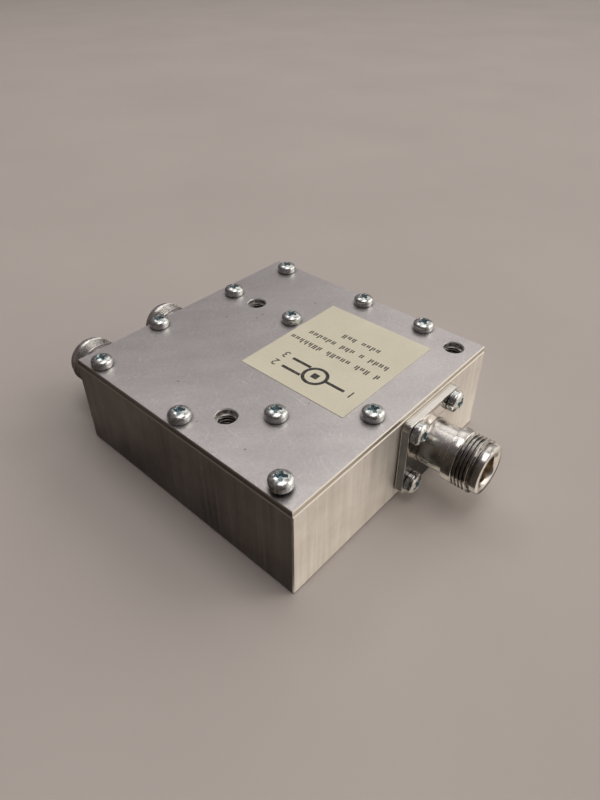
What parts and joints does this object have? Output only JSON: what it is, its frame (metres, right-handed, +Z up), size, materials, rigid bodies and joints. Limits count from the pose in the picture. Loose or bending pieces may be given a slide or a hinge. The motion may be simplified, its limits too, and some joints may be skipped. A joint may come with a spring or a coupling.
{
  "type": "rf power splitter",
  "caption": "Square milled aluminium box with a screwed lid and threaded coaxial jacks on opposite sides, which splits a radio signal into equal parts.",
  "frame": {"origin": "centre of the box's underside, which is also the centre of the whole part's footprint", "axes": "+Z up through the lid, +Y along the output jacks, -Y along the input jack, +X to the right seen from the input jack's side"},
  "size_m": [0.0866, 0.1282, 0.0341],
  "materials": {
    "milled_aluminium": "satin, brushed and lightly scratched",
    "lid_aluminium": "satin, finely scratched",
    "label_film": "satin",
    "zinc_steel": "bright zinc plate",
    "nickel_plate": "bright nickel plate",
    "insulator_resin": "matt, slightly waxy",
    "gold_plate": "bright gold plate",
    "board_laminate": "satin",
    "copper_foil": "satin copper",
    "resistor_ceramic": "glazed",
    "tinned_metal": "bright tin"
  },
  "bodies": {
    "root": {"housing": "milled_aluminium", "lid": "lid_aluminium", "label": "label_film", "lid_screws": "zinc_steel", "circuit_board": "board_laminate", "circuit_tracks": "copper_foil", "board_screws": "zinc_steel", "isolation_resistor": "resistor_ceramic", "resistor_end_caps": "tinned_metal", "input_strap": "copper_foil", "solder_joints": "tinned_metal", "input_jack_shell": "nickel_plate", "input_jack_insulator": "insulator_resin", "input_jack_contact": "gold_plate", "input_flange_screws": "zinc_steel", "output_1_jack_shell": "nickel_plate", "output_1_jack_insulator": "insulator_resin", "output_1_jack_contact": "gold_plate", "output_1_flange_screws": "zinc_steel", "output_2_jack_shell": "nickel_plate", "output_2_jack_insulator": "insulator_resin", "output_2_jack_contact": "gold_plate", "output_2_flange_screws": "zinc_steel"}
  },
  "joints": []
}
